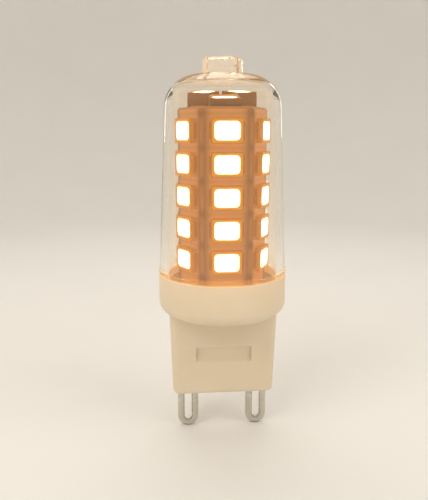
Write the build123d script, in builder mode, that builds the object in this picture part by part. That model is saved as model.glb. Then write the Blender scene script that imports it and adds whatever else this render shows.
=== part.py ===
from build123d import *
import math
import os

# LED capsule bulb: six LED strips stand round a hollow column, under a clear cover, on a bi-pin plug-in base.
# The origin is on the axis, at the underside of the collar, where the bulb seats in its holder.
# +Z runs up to the dome, the two pins lie along X, and strip 1 faces the front, -Y. Sizes are in millimetres.

# Collar of the base housing
COLLAR_D = 16.0
COLLAR_H = 5.1
COLLAR_EDGE_R = 1.5
COLLAR_RIM_EDGE = 0.12
RIM_WALL = 0.5
LEDGE_W = 1.3
LEDGE_DEPTH = 1.9
COLLAR_FLOOR = 1.2

# Plug under the collar, and the two wire loops that are its contacts
PIN_PITCH = 9.0
LOOP_PITCH = 1.8
WIRE_D = 0.9
PIN_OUT = 5.4
PIN_WALL = 0.95
PIN_STUB = 0.4
OUTER_LEG_IN = 1.8
PLUG_T = 5.6
PLUG_H = 10.6
PLUG_DRAFT = 2.0
PLUG_CORNER_R = 1.0
PLUG_EDGE_R = 0.5
PLUG_WALL = 0.8
PLUG_FLOOR = 2.4
GRIP_L = 7.0
GRIP_R = 1.4
GRIP_DEPTH = 0.45
GRIP_DROP = 5.2

# Clear cover
COVER_STEP = 0.1
COVER_DRAFT = 2.4
COVER_INNER_DRAFT = 2.1
COVER_SPIGOT_WALL = 0.5
COVER_TOP_WALL = 0.9
LIP_H = 0.45
SPIGOT_END_GAP = 0.1
SHOULDER_R = 3.9
INNER_SHOULDER_R = 1.8
LIP_EDGE = 0.08
NUB_SIDE = 3.9
NUB_H = 1.85
NUB_DRAFT = 1.5
NUB_CORNER_R = 0.3
NUB_EDGE = 0.2
NUB_TURN = -27.0

# LED package: a white moulded frame, its phosphor window and two solder terminals
LED_L = 3.5
LED_W = 2.8
LED_H = 0.7
LED_RIM = 0.32
LED_MARK = 0.35
WINDOW_CORNER = 0.3
WINDOW_DEPTH = 0.45
WINDOW_TAPER = 25.0
TERMINAL_L = 0.22
TERMINAL_W = 1.9
TERMINAL_T = 0.15

# LED column
STRIP_COUNT = 6
STRIP_T = 0.8
STRIP_GAP = 0.06
LED_ROWS = 5
LED_PITCH = 3.77
FIRST_ROW = 2.26
STRIP_END = 2.67
LED_COVER_GAP = 0.4
TAB_W = 2.0
TOP_BOARD_T = 0.8
TOP_SOLDER_L = 2.0
TOP_SOLDER_LEG = 0.45
TOP_LED_COUNT = 3
TOP_LED_GAP = 0.09
TOP_LED_EDGE = 0.076
HEADROOM = 2.3

# Boards, driver and capacitor inside
BASE_BOARD_T = 1.0
BOARD_GAP = 0.15
DRIVER_T = 0.8
TONGUE_W = 2.2
PACKAGE_GAP = 0.2
PACKAGE_DRAFT = 5.0
RECTIFIER_L = 4.7
RECTIFIER_W = 3.9
RECTIFIER_LEG_PITCH = 2.5
CHIP_L = 4.9
CHIP_W = 3.9
CHIP_LEG_PITCH = 1.27
CHIP_SIDE_LEGS = 4
LEG_OUT = 0.9
LEG_W = 0.6
LEG_T = 0.2
RESISTOR_L = 3.2
RESISTOR_W = 1.6
RESISTOR_T = 0.55
RESISTOR_GAP = 0.3
CAPACITOR_H = 12.0
CAPACITOR_LIFT = 0.8
CAPACITOR_GAP = 0.25
CAPACITOR_EDGE = 0.4
CRIMP_Z = 1.6
CRIMP_W = 0.9
CRIMP_DEPTH = 0.4
LEAD_D = 0.6
LEAD_PITCH = 3.5
LEAD_STUB = 0.6

# Clearances
FIT_GAP = 0.05
BORE_GAP = 0.03
HOLE_GAP = 0.1
WIRE_GAP = 0.25

# Sizes that follow from those above
COLLAR_R = COLLAR_D / 2
REBATE_R = COLLAR_R - RIM_WALL
LEDGE_Z = COLLAR_H - LEDGE_DEPTH
CAVITY_R = REBATE_R - LEDGE_W
BASE_BOARD_TOP = LEDGE_Z + BASE_BOARD_T

WIRE_R = WIRE_D / 2
INNER_LEG_X = (PIN_PITCH - LOOP_PITCH) / 2
OUTER_LEG_X = (PIN_PITCH + LOOP_PITCH) / 2
PLUG_W = 2 * (OUTER_LEG_X + WIRE_R + PIN_WALL)
PLUG_FLOOR_Z = PLUG_FLOOR - PLUG_H
POCKET_W = 2 * (INNER_LEG_X + WIRE_R + WIRE_GAP)
POCKET_T = PLUG_T - 2 * PLUG_WALL
BORE_R = WIRE_R + BORE_GAP
LOOP_BEND_Z = -PLUG_H - PIN_OUT + LOOP_PITCH / 2 + WIRE_R

SPIGOT_R = REBATE_R - FIT_GAP
SPIGOT_INNER_R = SPIGOT_R - COVER_SPIGOT_WALL
SPIGOT_Z = LEDGE_Z + SPIGOT_END_GAP
LIP_TOP = COLLAR_H + LIP_H

FIRST_ROW_Z = COLLAR_H + FIRST_ROW
TOP_ROW_Z = FIRST_ROW_Z + (LED_ROWS - 1) * LED_PITCH
STRIP_TOP = TOP_ROW_Z + STRIP_END
TOP_BOARD_Z = STRIP_TOP - TOP_BOARD_T
CEILING = STRIP_TOP + LED_H + HEADROOM
COVER_TOP = CEILING + COVER_TOP_WALL


def cover_outer_r(z):
    return COLLAR_R - COVER_STEP - (z - COLLAR_H) * math.tan(math.radians(COVER_DRAFT))


def cover_inner_r(z):
    return SPIGOT_INNER_R - (z - SPIGOT_Z) * math.tan(math.radians(COVER_INNER_DRAFT))


# The LEDs reach to LED_COVER_GAP from the cover at the top row, which sets the size of the column
LED_REACH_R = cover_inner_r(TOP_ROW_Z + LED_W / 2) - LED_COVER_GAP
STRIP_FACE_R = math.sqrt(LED_REACH_R**2 - (LED_L / 2) ** 2) - LED_H
STRIP_BACK_R = STRIP_FACE_R - STRIP_T
HALF_TURN = math.pi / STRIP_COUNT
STRIP_MITRE = STRIP_GAP / 2 / math.cos(HALF_TURN)
STRIP_HALF_W = STRIP_FACE_R * math.tan(HALF_TURN) - STRIP_MITRE
STRIP_BACK_HALF_W = STRIP_BACK_R * math.tan(HALF_TURN) - STRIP_MITRE

# The top board fills the column, and its LEDs fill the board. At this size they are the strips' own package
TOP_BOARD_R = STRIP_BACK_R - FIT_GAP
TOP_LED_INNER_R = LED_L / 2 / math.tan(math.pi / TOP_LED_COUNT)
TOP_LED_SCALE = (TOP_BOARD_R - TOP_LED_GAP - TOP_LED_EDGE) / (TOP_LED_INNER_R + LED_W)
TOP_LED_R = TOP_LED_SCALE * (TOP_LED_INNER_R + LED_W / 2) + TOP_LED_GAP

BASE_BOARD_R = SPIGOT_INNER_R - BOARD_GAP
DRIVER_W = 2 * (INNER_LEG_X - WIRE_R - WIRE_GAP)
PACKAGE_H = (POCKET_T - DRIVER_T) / 2 - PACKAGE_GAP
RESISTOR_Z = PLUG_FLOOR_Z + RESISTOR_GAP + RESISTOR_L / 2
RECTIFIER_Z = RESISTOR_Z + RESISTOR_L / 2 + RESISTOR_GAP + LEG_OUT + RECTIFIER_W / 2
CHIP_Z = (LEDGE_Z + PLUG_FLOOR_Z) / 2
CAPACITOR_R = STRIP_BACK_R - CAPACITOR_GAP
CAPACITOR_Z = BASE_BOARD_TOP + CAPACITOR_LIFT
LEAD_R = LEAD_D / 2


def turn_of(index, count):
    """Angle about Z of one of count places round the axis, the first at the front."""
    return 2 * math.pi * index / count - math.pi / 2


def strip_plane(index, z):
    """Plane on the outer face of a strip at height z: X runs round the column, Y up, and Z outwards."""
    turn = turn_of(index, STRIP_COUNT)
    outwards = (math.cos(turn), math.sin(turn), 0)
    origin = (STRIP_FACE_R * outwards[0], STRIP_FACE_R * outwards[1], z)
    return Plane(origin=origin, x_dir=(-outwards[1], outwards[0], 0), z_dir=outwards)


def column_plane(index, z):
    """Level plane at height z, its origin on the axis: X runs round the column, and Y away from a strip."""
    turn = turn_of(index, STRIP_COUNT)
    return Plane(origin=(0, 0, z), x_dir=(-math.sin(turn), math.cos(turn), 0), z_dir=(0, 0, 1))


def top_led_plane(index):
    """Plane on the top board under one of its LEDs: X runs round the axis, and Z up."""
    turn = turn_of(index, TOP_LED_COUNT)
    origin = (TOP_LED_R * math.cos(turn), TOP_LED_R * math.sin(turn), STRIP_TOP)
    return Plane(origin=origin, x_dir=(-math.sin(turn), math.cos(turn), 0), z_dir=(0, 0, 1))


def tab_locations():
    """Where the strips' tabs pass through a level board."""
    turns = [turn_of(index, STRIP_COUNT) for index in range(STRIP_COUNT)]
    middle = STRIP_FACE_R - STRIP_T / 2
    return [Location((middle * math.cos(t), middle * math.sin(t)), math.degrees(t)) for t in turns]


def finish(builder, name):
    """Labels a finished piece and writes it to its file."""
    builder.part.label = name
    export_step(builder.part, f"parts/{name}.step")


os.makedirs("parts", exist_ok=True)

# Base housing: a white moulded collar and plug, hollow for the driver
with BuildPart() as base_housing:
    with BuildSketch(Plane.XY):
        Circle(COLLAR_R)
    extrude(amount=COLLAR_H)
    fillet(base_housing.edges().sort_by(Axis.Z)[0], radius=COLLAR_EDGE_R)
    with BuildSketch(Plane.XY):
        RectangleRounded(PLUG_W, PLUG_T, PLUG_CORNER_R)
    extrude(amount=COLLAR_FLOOR)
    with BuildSketch(Plane.XY.rotated((180, 0, 0))):
        RectangleRounded(PLUG_W, PLUG_T, PLUG_CORNER_R)
    extrude(amount=PLUG_H, taper=PLUG_DRAFT)
    fillet(base_housing.faces().sort_by(Axis.Z)[0].edges(), radius=PLUG_EDGE_R)
    with BuildSketch(Plane.XY.offset(COLLAR_H)):
        Circle(REBATE_R)
    extrude(amount=-LEDGE_DEPTH, mode=Mode.SUBTRACT)
    rim_edges = base_housing.faces().sort_by(Axis.Z)[-1].edges()
    chamfer(rim_edges.sort_by(SortBy.RADIUS)[-1], length=COLLAR_RIM_EDGE)
    with BuildSketch(Plane.XY.offset(LEDGE_Z)):
        Circle(CAVITY_R)
    extrude(amount=COLLAR_FLOOR - LEDGE_Z, mode=Mode.SUBTRACT)
    with BuildSketch(Plane.XY.offset(COLLAR_FLOOR)):
        Rectangle(POCKET_W, POCKET_T)
    extrude(amount=PLUG_FLOOR_Z - COLLAR_FLOOR, mode=Mode.SUBTRACT)
    # Each loop's inner leg passes right through the plug's floor, and its outer leg ends in a blind hole
    with BuildSketch(Plane.XY.offset(-PLUG_H)):
        with Locations((-INNER_LEG_X, 0), (INNER_LEG_X, 0)):
            Circle(BORE_R)
    extrude(amount=PLUG_FLOOR, mode=Mode.SUBTRACT)
    with BuildSketch(Plane.XY.offset(-PLUG_H)):
        with Locations((-OUTER_LEG_X, 0), (OUTER_LEG_X, 0)):
            Circle(BORE_R)
    extrude(amount=OUTER_LEG_IN + BORE_GAP, mode=Mode.SUBTRACT)
    # A rounded groove across each broad face of the plug takes the holder's spring
    groove_y = PLUG_T / 2 - GRIP_DROP * math.tan(math.radians(PLUG_DRAFT)) + GRIP_R - GRIP_DEPTH
    with BuildSketch(Plane.YZ.offset(-GRIP_L / 2)):
        with Locations((-groove_y, -GRIP_DROP), (groove_y, -GRIP_DROP)):
            Circle(GRIP_R)
    extrude(amount=GRIP_L, mode=Mode.SUBTRACT)
finish(base_housing, "base_housing")

# Contacts: a wire loop each side, whose inner leg runs up to the base board
for side, name in ((-1, "contact_pin_left"), (1, "contact_pin_right")):
    with BuildPart() as contact_pin:
        with BuildLine() as loop:
            inner_end = (side * INNER_LEG_X, 0, BASE_BOARD_TOP + PIN_STUB)
            inner_bend = (side * INNER_LEG_X, 0, LOOP_BEND_Z)
            outer_bend = (side * OUTER_LEG_X, 0, LOOP_BEND_Z)
            tip = (side * PIN_PITCH / 2, 0, LOOP_BEND_Z - LOOP_PITCH / 2)
            Line(inner_end, inner_bend)
            ThreePointArc(inner_bend, tip, outer_bend)
            Line(outer_bend, (side * OUTER_LEG_X, 0, OUTER_LEG_IN - PLUG_H))
        with BuildSketch(Plane(origin=inner_end, z_dir=(0, 0, -1))):
            Circle(WIRE_R)
        sweep(path=loop.line)
    finish(contact_pin, name)

# Clear cover: a thin drafted wall with a round shoulder, a lip on the collar, a spigot in it and a square nub
with BuildPart() as cover:
    with BuildSketch(Plane.XZ) as cover_section:
        with BuildLine():
            Polyline(
                (SPIGOT_INNER_R, SPIGOT_Z),
                (SPIGOT_R, SPIGOT_Z),
                (SPIGOT_R, COLLAR_H),
                (COLLAR_R, COLLAR_H),
                (COLLAR_R, LIP_TOP),
                (cover_outer_r(LIP_TOP), LIP_TOP),
                (cover_outer_r(COVER_TOP), COVER_TOP),
                (0, COVER_TOP),
                (0, CEILING),
                (cover_inner_r(CEILING), CEILING),
                close=True,
            )
        make_face()
        outer_corner = (cover_outer_r(COVER_TOP), COVER_TOP)
        inner_corner = (cover_inner_r(CEILING), CEILING)
        fillet(cover_section.vertices().sort_by_distance(outer_corner)[0], radius=SHOULDER_R)
        fillet(cover_section.vertices().sort_by_distance(inner_corner)[0], radius=INNER_SHOULDER_R)
        lip_step = COLLAR_R - cover_outer_r(LIP_TOP)
        lip_corner = cover_section.vertices().sort_by_distance((COLLAR_R, LIP_TOP))[0]
        chamfer(lip_corner, length=min(LIP_EDGE, lip_step / 2))
    revolve(axis=Axis.Z)
    with BuildSketch(Plane.XY.offset(COVER_TOP).rotated((0, 0, NUB_TURN))):
        RectangleRounded(NUB_SIDE, NUB_SIDE, NUB_CORNER_R)
    extrude(amount=NUB_H, taper=NUB_DRAFT)
    chamfer(cover.faces().sort_by(Axis.Z)[-1].edges(), length=NUB_EDGE)
finish(cover, "cover")

# Base board: a round board on the collar's ledge, which holds the strips, the capacitor and the driver board
with BuildPart() as base_board:
    with BuildSketch(Plane.XY.offset(LEDGE_Z)):
        Circle(BASE_BOARD_R)
        with Locations(*tab_locations()):
            Rectangle(STRIP_T + 2 * FIT_GAP, TAB_W + 2 * FIT_GAP, mode=Mode.SUBTRACT)
        with Locations((-INNER_LEG_X, 0), (INNER_LEG_X, 0)):
            Circle(WIRE_R + HOLE_GAP, mode=Mode.SUBTRACT)
        with Locations((0, -LEAD_PITCH / 2), (0, LEAD_PITCH / 2)):
            Circle(LEAD_R + HOLE_GAP, mode=Mode.SUBTRACT)
        Rectangle(TONGUE_W + 2 * FIT_GAP, DRIVER_T + 2 * FIT_GAP, mode=Mode.SUBTRACT)
    extrude(amount=BASE_BOARD_T)
finish(base_board, "base_board")

# Top board: a hexagon inside the strips, flush with their upper ends
with BuildPart() as top_board:
    with BuildSketch(Plane.XY.offset(TOP_BOARD_Z)):
        RegularPolygon(TOP_BOARD_R, STRIP_COUNT, major_radius=False)
    extrude(amount=TOP_BOARD_T)
finish(top_board, "top_board")

# Solder under the top board, along the back of each strip
with BuildPart() as top_solder:
    for index in range(STRIP_COUNT):
        outwards = column_plane(index, 0).y_dir * -1
        along = column_plane(index, 0).x_dir
        corner = outwards * STRIP_BACK_R + Vector(0, 0, TOP_BOARD_Z) - along * (TOP_SOLDER_L / 2)
        with BuildSketch(Plane(origin=corner, x_dir=outwards * -1, z_dir=along)):
            Polygon((0, 0), (0, -TOP_SOLDER_LEG), (TOP_SOLDER_LEG, 0), align=None)
        extrude(amount=TOP_SOLDER_L)
finish(top_solder, "top_solder")

# One LED at the origin, lying on the XY plane, in its three pieces
with BuildPart() as led_frame:
    with BuildSketch(Plane.XY) as led_outline:
        Rectangle(LED_L, LED_W)
        marked_corner = led_outline.vertices().sort_by_distance((-LED_L, LED_W))[0]
        chamfer(marked_corner, length=LED_MARK)
    extrude(amount=LED_H)
    with BuildSketch(Plane.XY.offset(LED_H).rotated((180, 0, 0))) as pocket_outline:
        Rectangle(LED_L - 2 * LED_RIM, LED_W - 2 * LED_RIM)
        chamfer(pocket_outline.vertices(), length=WINDOW_CORNER)
    extrude(amount=WINDOW_DEPTH, taper=WINDOW_TAPER, mode=Mode.SUBTRACT)

with BuildPart() as led_window:
    with BuildSketch(Plane.XY.offset(LED_H).rotated((180, 0, 0))) as window_outline:
        Rectangle(LED_L - 2 * LED_RIM, LED_W - 2 * LED_RIM)
        chamfer(window_outline.vertices(), length=WINDOW_CORNER)
    extrude(amount=WINDOW_DEPTH, taper=WINDOW_TAPER)

with BuildPart() as led_terminals:
    with BuildSketch(Plane.XY):
        with Locations((-(LED_L + TERMINAL_L) / 2, 0), ((LED_L + TERMINAL_L) / 2, 0)):
            Rectangle(TERMINAL_L, TERMINAL_W)
    extrude(amount=TERMINAL_T)

LED_PIECES = (("frames", led_frame), ("windows", led_window), ("terminals", led_terminals))

# Strips: six boards with mitred edges close a hexagon, each with its row of LEDs and a tab in the base board
for index in range(STRIP_COUNT):
    number = index + 1
    with BuildPart() as led_strip:
        with BuildSketch(column_plane(index, BASE_BOARD_TOP)):
            Polygon(
                (-STRIP_HALF_W, -STRIP_FACE_R), (STRIP_HALF_W, -STRIP_FACE_R),
                (STRIP_BACK_HALF_W, -STRIP_BACK_R), (-STRIP_BACK_HALF_W, -STRIP_BACK_R), align=None,
            )
        extrude(amount=STRIP_TOP - BASE_BOARD_TOP)
        with BuildSketch(column_plane(index, LEDGE_Z)):
            with Locations((0, -STRIP_FACE_R)):
                Rectangle(TAB_W, STRIP_T, align=(Align.CENTER, Align.MIN))
        extrude(amount=BASE_BOARD_T)
    finish(led_strip, f"led_strip_{number}")

    rows = [strip_plane(index, FIRST_ROW_Z + row * LED_PITCH) for row in range(LED_ROWS)]
    for piece_name, piece in LED_PIECES:
        with BuildPart() as strip_leds:
            with Locations(*rows):
                add(piece.part)
        finish(strip_leds, f"led_{piece_name}_{number}")

# The top board's own LEDs
for piece_name, piece in LED_PIECES:
    top_piece = scale(piece.part, TOP_LED_SCALE)
    with BuildPart() as top_leds:
        with Locations(*[top_led_plane(index) for index in range(TOP_LED_COUNT)]):
            add(top_piece)
    finish(top_leds, f"top_led_{piece_name}")

# Driver board: stands in the plug between the two pins, with a tongue up into the base board
with BuildPart() as driver_board:
    with BuildSketch(Plane.XZ):
        with Locations((0, LEDGE_Z)):
            Rectangle(DRIVER_W, LEDGE_Z - PLUG_FLOOR_Z, align=(Align.CENTER, Align.MAX))
            Rectangle(TONGUE_W, BASE_BOARD_T, align=(Align.CENTER, Align.MIN))
    extrude(amount=DRIVER_T / 2, both=True)
finish(driver_board, "driver_board")

# Bridge rectifier, on the driver board's rear face, with two legs at its top and two at its bottom
with BuildPart() as bridge_rectifier:
    rear_face = Plane(origin=(0, DRIVER_T / 2, RECTIFIER_Z), x_dir=(-1, 0, 0), z_dir=(0, 1, 0))
    with BuildSketch(rear_face):
        Rectangle(RECTIFIER_L, RECTIFIER_W)
    extrude(amount=PACKAGE_H, taper=PACKAGE_DRAFT)
    with BuildSketch(rear_face):
        with GridLocations(RECTIFIER_LEG_PITCH, RECTIFIER_W, 2, 2):
            Rectangle(LEG_W, 2 * LEG_OUT)
    extrude(amount=LEG_T)
finish(bridge_rectifier, "bridge_rectifier")

# Driver chip, on the front face, with four legs each side
with BuildPart() as driver_chip:
    front_face = Plane(origin=(0, -DRIVER_T / 2, CHIP_Z), x_dir=(1, 0, 0), z_dir=(0, -1, 0))
    with BuildSketch(front_face):
        Rectangle(CHIP_W, CHIP_L)
    extrude(amount=PACKAGE_H, taper=PACKAGE_DRAFT)
    with BuildSketch(front_face):
        with GridLocations(CHIP_W, CHIP_LEG_PITCH, 2, CHIP_SIDE_LEGS):
            Rectangle(2 * LEG_OUT, LEG_W)
    extrude(amount=LEG_T)
finish(driver_chip, "driver_chip")

# Chip resistors, side by side on the rear face under the rectifier: the fuse resistor and the sense resistor
with BuildPart() as chip_resistors:
    with BuildSketch(Plane(origin=(0, DRIVER_T / 2, RESISTOR_Z), x_dir=(-1, 0, 0), z_dir=(0, 1, 0))):
        with GridLocations(RESISTOR_W + RESISTOR_GAP, 0, 2, 1):
            Rectangle(RESISTOR_W, RESISTOR_L)
    extrude(amount=RESISTOR_T)
finish(chip_resistors, "chip_resistors")

# Smoothing capacitor: a crimped can inside the column, on two leads through the base board
with BuildPart() as smoothing_capacitor:
    with BuildSketch(Plane.XY.offset(CAPACITOR_Z)):
        Circle(CAPACITOR_R)
    extrude(amount=CAPACITOR_H)
    chamfer(smoothing_capacitor.edges().filter_by(GeomType.CIRCLE), length=CAPACITOR_EDGE)
    with BuildSketch(Plane.XZ):
        with BuildLine():
            Polyline(
                (CAPACITOR_R, CAPACITOR_Z + CRIMP_Z - CRIMP_W / 2),
                (CAPACITOR_R, CAPACITOR_Z + CRIMP_Z + CRIMP_W / 2),
                (CAPACITOR_R - CRIMP_DEPTH, CAPACITOR_Z + CRIMP_Z),
                close=True,
            )
        make_face()
    revolve(axis=Axis.Z, mode=Mode.SUBTRACT)
    with BuildSketch(Plane.XY.offset(LEDGE_Z - LEAD_STUB)):
        with Locations((0, -LEAD_PITCH / 2), (0, LEAD_PITCH / 2)):
            Circle(LEAD_R)
    extrude(amount=CAPACITOR_Z - LEDGE_Z + LEAD_STUB)
finish(smoothing_capacitor, "smoothing_capacitor")
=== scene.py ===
# %% [markdown]
# # A lit LED capsule bulb
# The bulb is a clear moulded cover over a six-sided column of LED strips, on a white collar with a plug.
# The solids are loaded first as a fixed frame: every size below is read from them or matches them.
# The pieces that show are then modelled again with rounder edges, and dressed with materials and light.

# %% Load the frame
import math

import bmesh
import bpy
from mathutils import Matrix, Vector


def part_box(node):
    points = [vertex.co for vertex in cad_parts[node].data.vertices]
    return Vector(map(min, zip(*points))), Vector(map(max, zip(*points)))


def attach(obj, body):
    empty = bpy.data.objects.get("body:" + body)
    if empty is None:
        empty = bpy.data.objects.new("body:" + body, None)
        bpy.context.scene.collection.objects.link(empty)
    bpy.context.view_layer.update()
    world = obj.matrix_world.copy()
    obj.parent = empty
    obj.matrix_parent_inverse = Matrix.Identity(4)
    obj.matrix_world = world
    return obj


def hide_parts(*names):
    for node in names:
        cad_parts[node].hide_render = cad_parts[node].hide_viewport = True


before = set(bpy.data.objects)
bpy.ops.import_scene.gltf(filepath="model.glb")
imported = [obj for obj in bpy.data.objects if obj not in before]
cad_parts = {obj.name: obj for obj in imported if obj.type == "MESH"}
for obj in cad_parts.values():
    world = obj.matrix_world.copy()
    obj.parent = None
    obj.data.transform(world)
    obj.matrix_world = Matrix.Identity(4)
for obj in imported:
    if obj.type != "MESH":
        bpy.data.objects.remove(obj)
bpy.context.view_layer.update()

print("nodes in the frame:", len(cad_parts))

# %% [markdown]
# ## Measuring the frame
# Blender works in metres, and this bulb is a few centimetres tall, so the pieces are modelled in
# millimetres and scaled once at the end. The main heights and radii are read from the solids, so that each
# new piece lands on its solid without any fitting by eye.

# %% Read the main sizes
MM = 0.001


def measured(node):
    """Lowest and highest corner of a solid, in millimetres."""
    return [Vector([round(value / MM, 3) for value in corner]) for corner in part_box(node)]


def radius_of(node):
    """Distance from the bulb's axis to the furthest point of a solid, in millimetres."""
    return round(max(vertex.co.xy.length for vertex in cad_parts[node].data.vertices) / MM, 3)


housing_low, housing_high = measured("base_housing")
cover_low, cover_high = measured("cover")
COLLAR_R = radius_of("base_housing")
RIM_Z = housing_high.z
PLUG_END_Z = housing_low.z
print(f"collar {2 * COLLAR_R} mm across, rim at {RIM_Z} mm, plug's end at {PLUG_END_Z} mm")

# %% [markdown]
# ## Colours and nodes
# Colours are written as the sRGB hex values one would pick from a picture, and shaders want linear light,
# so one function turns the first into the second. Another adds a node with its settings and links in one
# go. A texture's scale counts features per metre, so it is worked out from the real size of a feature.

# %% Colours, nodes and scales
def linear(hex_code, alpha=1.0):
    """Linear colour of an sRGB hex value such as #F2E6CC."""
    channels = [int(hex_code[i:i + 2], 16) / 255 for i in (1, 3, 5)]
    return [c / 12.92 if c <= 0.04045 else ((c + 0.055) / 1.055) ** 2.4 for c in channels] + [alpha]


def add_node(tree, kind, inputs=None, **settings):
    """Adds a node. Each input takes a plain value, or a socket to be linked from."""
    node = tree.nodes.new("ShaderNode" + kind)
    for name, value in settings.items():
        setattr(node, name, value)
    for name, value in (inputs or {}).items():
        if isinstance(value, bpy.types.NodeSocket):
            tree.links.new(value, node.inputs[name])
        else:
            node.inputs[name].default_value = value
    return node


def new_material(name):
    """An empty node material, its tree and its output node."""
    material = bpy.data.materials.new(name)
    material.use_nodes = True
    material.node_tree.nodes.clear()
    return material, material.node_tree, add_node(material.node_tree, "OutputMaterial")


def per_metre(size_mm):
    """Scale of a texture, in Object coordinates, whose features are about that size."""
    return 1 / (size_mm * MM)


print("mid grey in linear light:", [round(value, 3) for value in linear("#808080")])

# %% [markdown]
# ## Clear moulded polycarbonate
# The cover is injection-moulded clear polycarbonate. It is nearly colourless and bends light a little more
# than window glass. What gives the moulding away is a slow waviness in the wall, which makes reflections
# wobble, so a very shallow bump of a few millimetres' length does that. The wall also pipes some of the
# LEDs' light along itself and lets it out at its ends. A render would need very many bounces for that, so
# the lip and the top are given a faint painted amber glow instead, and the rest of the wall a fainter one.
# The nub is left from the moulding gate, and its skin is rougher.

# %% Cover materials
LIP_GLOW_FULL = RIM_Z + 0.3
LIP_GLOW_END = RIM_Z + 0.56
DOME_GLOW_START = cover_high.z - 3.6
DOME_GLOW_FULL = cover_high.z - 2.0


def make_clear_polycarbonate(name, wave_mm, wave_depth_mm, roughness):
    """Clear plastic with a wavy skin and a faint painted glow, stronger where the light that it pipes comes
    out.
    """
    material, tree, output = new_material(name)
    place = add_node(tree, "TexCoord").outputs["Object"]
    flow = add_node(tree, "TexNoise", {"Vector": place, "Scale": per_metre(wave_mm), "Detail": 2})
    bump = add_node(tree, "Bump", {
        "Strength": 1.0, "Distance": wave_depth_mm * MM, "Height": flow.outputs[0],
    })
    height = add_node(tree, "SeparateXYZ", {"Vector": place}).outputs["Z"]
    lip = add_node(tree, "MapRange", {
        "Value": height, "From Min": LIP_GLOW_END * MM, "From Max": LIP_GLOW_FULL * MM,
    })
    dome = add_node(tree, "MapRange", {
        "Value": height, "From Min": DOME_GLOW_START * MM, "From Max": DOME_GLOW_FULL * MM,
    })
    # Painted glow: a faint amber over the whole wall, stronger at the lip and at the top.
    low = add_node(tree, "Mix", {
        "Factor": lip.outputs[0], "A": linear("#1E160C"), "B": linear("#5A4426"),
    }, data_type="RGBA")
    piped = add_node(tree, "Mix", {
        "Factor": dome.outputs[0], "A": low.outputs["Result"], "B": linear("#4E3818"),
    }, data_type="RGBA")
    shader = add_node(tree, "BsdfPrincipled", {
        "Base Color": linear("#FFFAF2"), "Roughness": roughness, "IOR": 1.585,
        "Transmission Weight": 1.0, "Normal": bump.outputs[0],
        "Emission Color": piped.outputs["Result"], "Emission Strength": 1.0,
    })
    tree.links.new(shader.outputs[0], output.inputs["Surface"])
    return material


clear_polycarbonate = make_clear_polycarbonate(
    "clear_polycarbonate_moulded", wave_mm=4, wave_depth_mm=0.0075, roughness=0.02)
gate_polycarbonate = make_clear_polycarbonate(
    "clear_polycarbonate_gate_mark", wave_mm=0.6, wave_depth_mm=0.09, roughness=0.08)
print("materials:", clear_polycarbonate.name, gate_polycarbonate.name)

# %% [markdown]
# ## The clear cover
# The cover is a thin moulded cup: a drafted wall, a round shoulder, a flat top with a square nub, and at its
# open end a lip that sits on the collar and a spigot that goes into it. A subdivided cylinder could give the
# outline, but a section spun round the axis keeps every radius and wall as it is on the solid. The two
# shoulder corners are then bevelled to their radius, and the nub is extruded from a square and bridged to
# the top. Each piece starts as an empty bmesh and ends as an object at the origin that rides the frame.

# %% Turn a bmesh into a finished piece
SHARP_ANGLE = math.radians(32)


def finish_piece(name, bm, materials, slot, *nodes):
    """Scales a bmesh to metres and makes it an object that rides the frame in place of the named solids."""
    bmesh.ops.scale(bm, vec=(MM, MM, MM), verts=bm.verts)
    for face in bm.faces:
        face.smooth = True
    for edge in bm.edges:
        edge.smooth = edge.calc_face_angle(math.pi) < SHARP_ANGLE
    mesh = bpy.data.meshes.new(name)
    bm.to_mesh(mesh)
    bm.free()
    for material in materials:
        mesh.materials.append(material)
    piece = bpy.data.objects.new(name, mesh)
    bpy.context.scene.collection.objects.link(piece)
    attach(piece, "root")
    if nodes:
        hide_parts(*nodes)
    mesh.calc_loop_triangles()
    print(f"{name}: {len(mesh.loop_triangles)} triangles")
    return piece


print(f"edges that turn by more than {math.degrees(SHARP_ANGLE):.0f} degrees stay crisp")

# %% Spin a profile and round its edges
SPIN_STEPS = 128
TOUCH = 1e-3


def spin_profile(bm, profile):
    """Turns a line of (radius, height) points right round the bulb's axis."""
    points = [bm.verts.new((radius, 0, height)) for radius, height in profile]
    lines = [bm.edges.new(pair) for pair in zip(points, points[1:])]
    bmesh.ops.spin(
        bm, geom=points + lines, axis=(0, 0, 1), cent=(0, 0, 0),
        angle=math.tau, steps=SPIN_STEPS, use_merge=True,
    )
    bmesh.ops.remove_doubles(bm, verts=bm.verts, dist=TOUCH)
    bmesh.ops.recalc_face_normals(bm, faces=bm.faces)


def ring_edges(bm, radius, height):
    """The edges of the circle at that radius and height."""
    def on_ring(vertex):
        return abs(vertex.co.xy.length - radius) < TOUCH and abs(vertex.co.z - height) < TOUCH
    return [edge for edge in bm.edges if all(on_ring(vertex) for vertex in edge.verts)]


def round_edges(bm, edges, size, segments):
    """Bevels edges to a round of that size, or to a flat chamfer with one segment."""
    bmesh.ops.bevel(
        bm, geom=edges, offset=size, offset_type="OFFSET", segments=segments,
        profile=0.5, affect="EDGES", material=-1,
    )


print(f"one step of a spin is {math.tau * COLLAR_R / SPIN_STEPS:.2f} mm long at the collar")

# %% Spin the cover's wall
COVER_STEP = 0.1
OUTER_DRAFT = math.radians(2.4)
INNER_DRAFT = math.radians(2.1)
SPIGOT_WALL = 0.5
SPIGOT_GAP = 0.55
TOP_WALL = 0.9
LIP_H = 0.45
LIP_SEAT = -0.02
LIP_EDGE = 0.05
SHOULDER_R = 3.9
INNER_SHOULDER_R = 1.8
SHOULDER_SEGMENTS = 14
NUB_H = 1.85
NUB_RING_R = 2.9

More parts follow.
